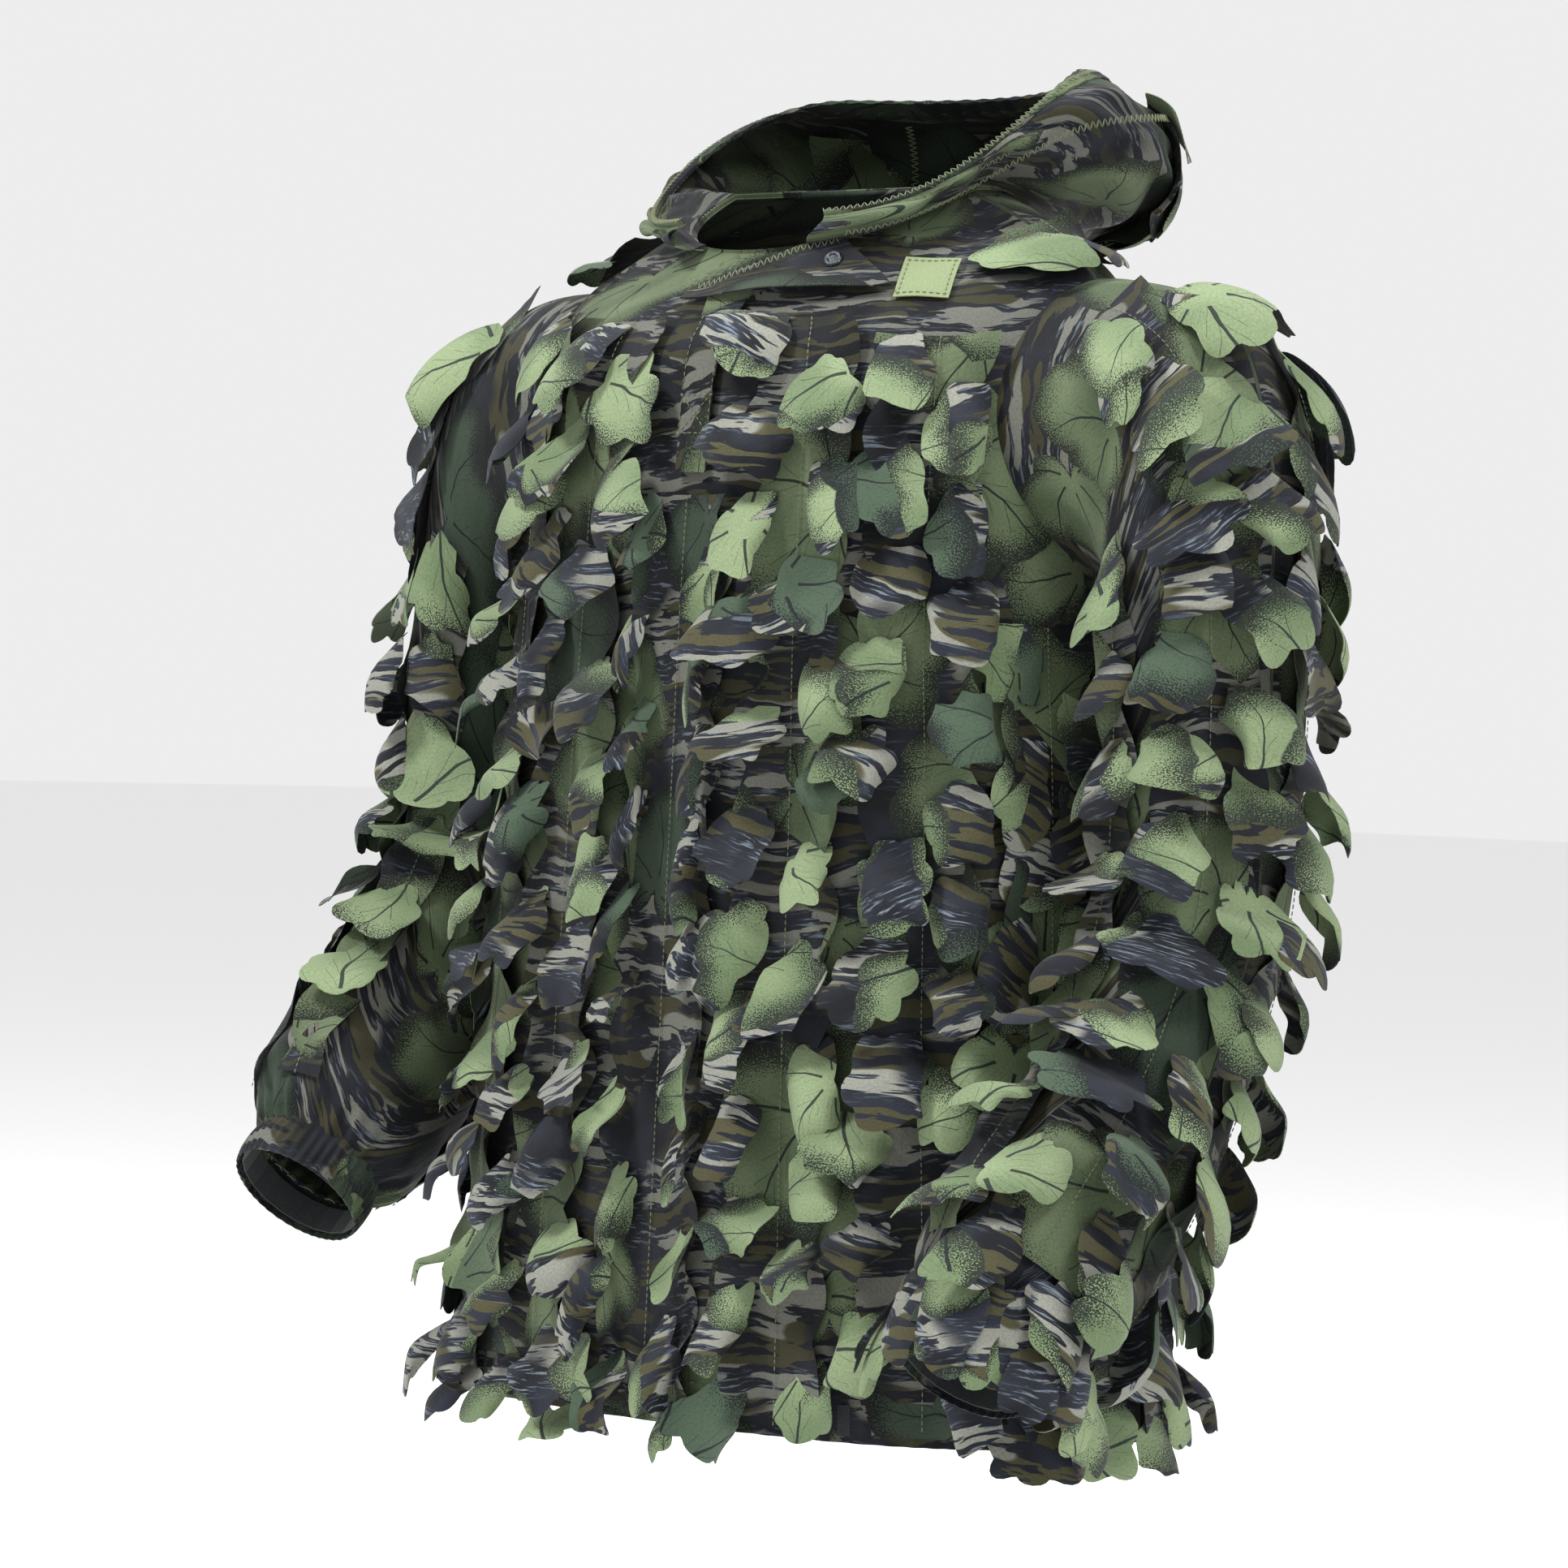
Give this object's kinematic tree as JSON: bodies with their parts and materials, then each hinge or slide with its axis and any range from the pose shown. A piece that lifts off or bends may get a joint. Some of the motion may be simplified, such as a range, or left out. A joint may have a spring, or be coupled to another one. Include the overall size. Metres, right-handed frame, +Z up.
{
  "type": "ghillie suit",
  "caption": "Hooded pullover jacket of printed cloth, covered in hanging strips of leaf-cut fabric, with gathered cuffs and a snap tab at the collar.",
  "frame": {"origin": "middle of the neck opening, level with the points where the shoulder seams meet the neck", "axes": "+Z up, +X towards the wearer's left, -Y towards the wearer's front"},
  "size_m": [0.7508, 0.4616, 0.8566],
  "materials": {
    "printed_cloth": "woven polyester printed with bark and leaf shapes",
    "leaf_cloth": "light woven polyester, printed leaves, cut into lobes",
    "trim_cloth": "printed cloth folded over and overlocked",
    "elastic": "knitted elastic",
    "label_cloth": "blank woven patch",
    "snap_metal": "dark plated press stud"
  },
  "bodies": {
    "torso": {"chest_label": "label_cloth", "front_placket": "printed_cloth", "hanger_loop": "trim_cloth", "hem_band": "printed_cloth", "hem_elastic": "elastic", "hood_neck_band": "printed_cloth", "neck_binding_left": "trim_cloth", "neck_binding_right": "trim_cloth", "snap_post": "snap_metal", "snap_stud": "snap_metal", "torso_back": "printed_cloth", "torso_front": "printed_cloth", "torso_strip_back_left_1": "leaf_cloth", "torso_strip_back_left_2": "leaf_cloth", "torso_strip_back_left_3": "leaf_cloth", "torso_strip_back_middle": "leaf_cloth", "torso_strip_back_right_1": "leaf_cloth", "torso_strip_back_right_2": "leaf_cloth", "torso_strip_back_right_3": "leaf_cloth", "torso_strip_front_left_1": "leaf_cloth", "torso_strip_front_left_2": "leaf_cloth", "torso_strip_front_left_3": "leaf_cloth", "torso_strip_front_middle": "leaf_cloth", "torso_strip_front_right_1": "leaf_cloth", "torso_strip_front_right_2": "leaf_cloth", "torso_strip_front_right_3": "leaf_cloth", "torso_strip_left_shoulder": "leaf_cloth", "torso_strip_right_shoulder": "leaf_cloth"},
    "left_arm": {"left_cuff": "printed_cloth", "left_cuff_elastic": "elastic", "left_sleeve": "printed_cloth", "left_sleeve_strip_back_inner": "leaf_cloth", "left_sleeve_strip_back_outer": "leaf_cloth", "left_sleeve_strip_front_inner": "leaf_cloth", "left_sleeve_strip_front_outer": "leaf_cloth"},
    "right_arm": {"right_cuff": "printed_cloth", "right_cuff_elastic": "elastic", "right_sleeve": "printed_cloth", "right_sleeve_strip_back_inner": "leaf_cloth", "right_sleeve_strip_back_outer": "leaf_cloth", "right_sleeve_strip_front_inner": "leaf_cloth", "right_sleeve_strip_front_outer": "leaf_cloth"},
    "hood": {"hood_binding": "trim_cloth", "hood_left_panel": "printed_cloth", "hood_middle_panel": "printed_cloth", "hood_right_panel": "printed_cloth", "hood_strip_far_left": "leaf_cloth", "hood_strip_far_right": "leaf_cloth", "hood_strip_left": "leaf_cloth", "hood_strip_middle": "leaf_cloth", "hood_strip_right": "leaf_cloth"},
    "collar": {"collar_tab": "printed_cloth", "snap_cap": "snap_metal", "snap_socket": "snap_metal"}
  },
  "joints": [
    {"name": "left_sleeve_swing", "type": "hinge", "parent": "torso", "child": "left_arm", "pos_m": [0.216, 0.018, -0.154], "axis": [-1, 0, 0], "range_deg": [-4, 50]},
    {"name": "right_sleeve_swing", "type": "hinge", "parent": "torso", "child": "right_arm", "pos_m": [-0.216, 0.018, -0.154], "axis": [-1, 0, 0], "range_deg": [-4, 50]},
    {"name": "hood_lift", "type": "hinge", "parent": "torso", "child": "hood", "pos_m": [0, 0, 0], "axis": [1, 0, 0], "range_deg": [0, 30]},
    {"name": "collar_tab_open", "type": "hinge", "parent": "torso", "child": "collar", "pos_m": [-0.006, -0.1086, -0.0587], "axis": [-0.0373, -0.4777, -0.8777], "range_deg": [0, 110]}
  ]
}
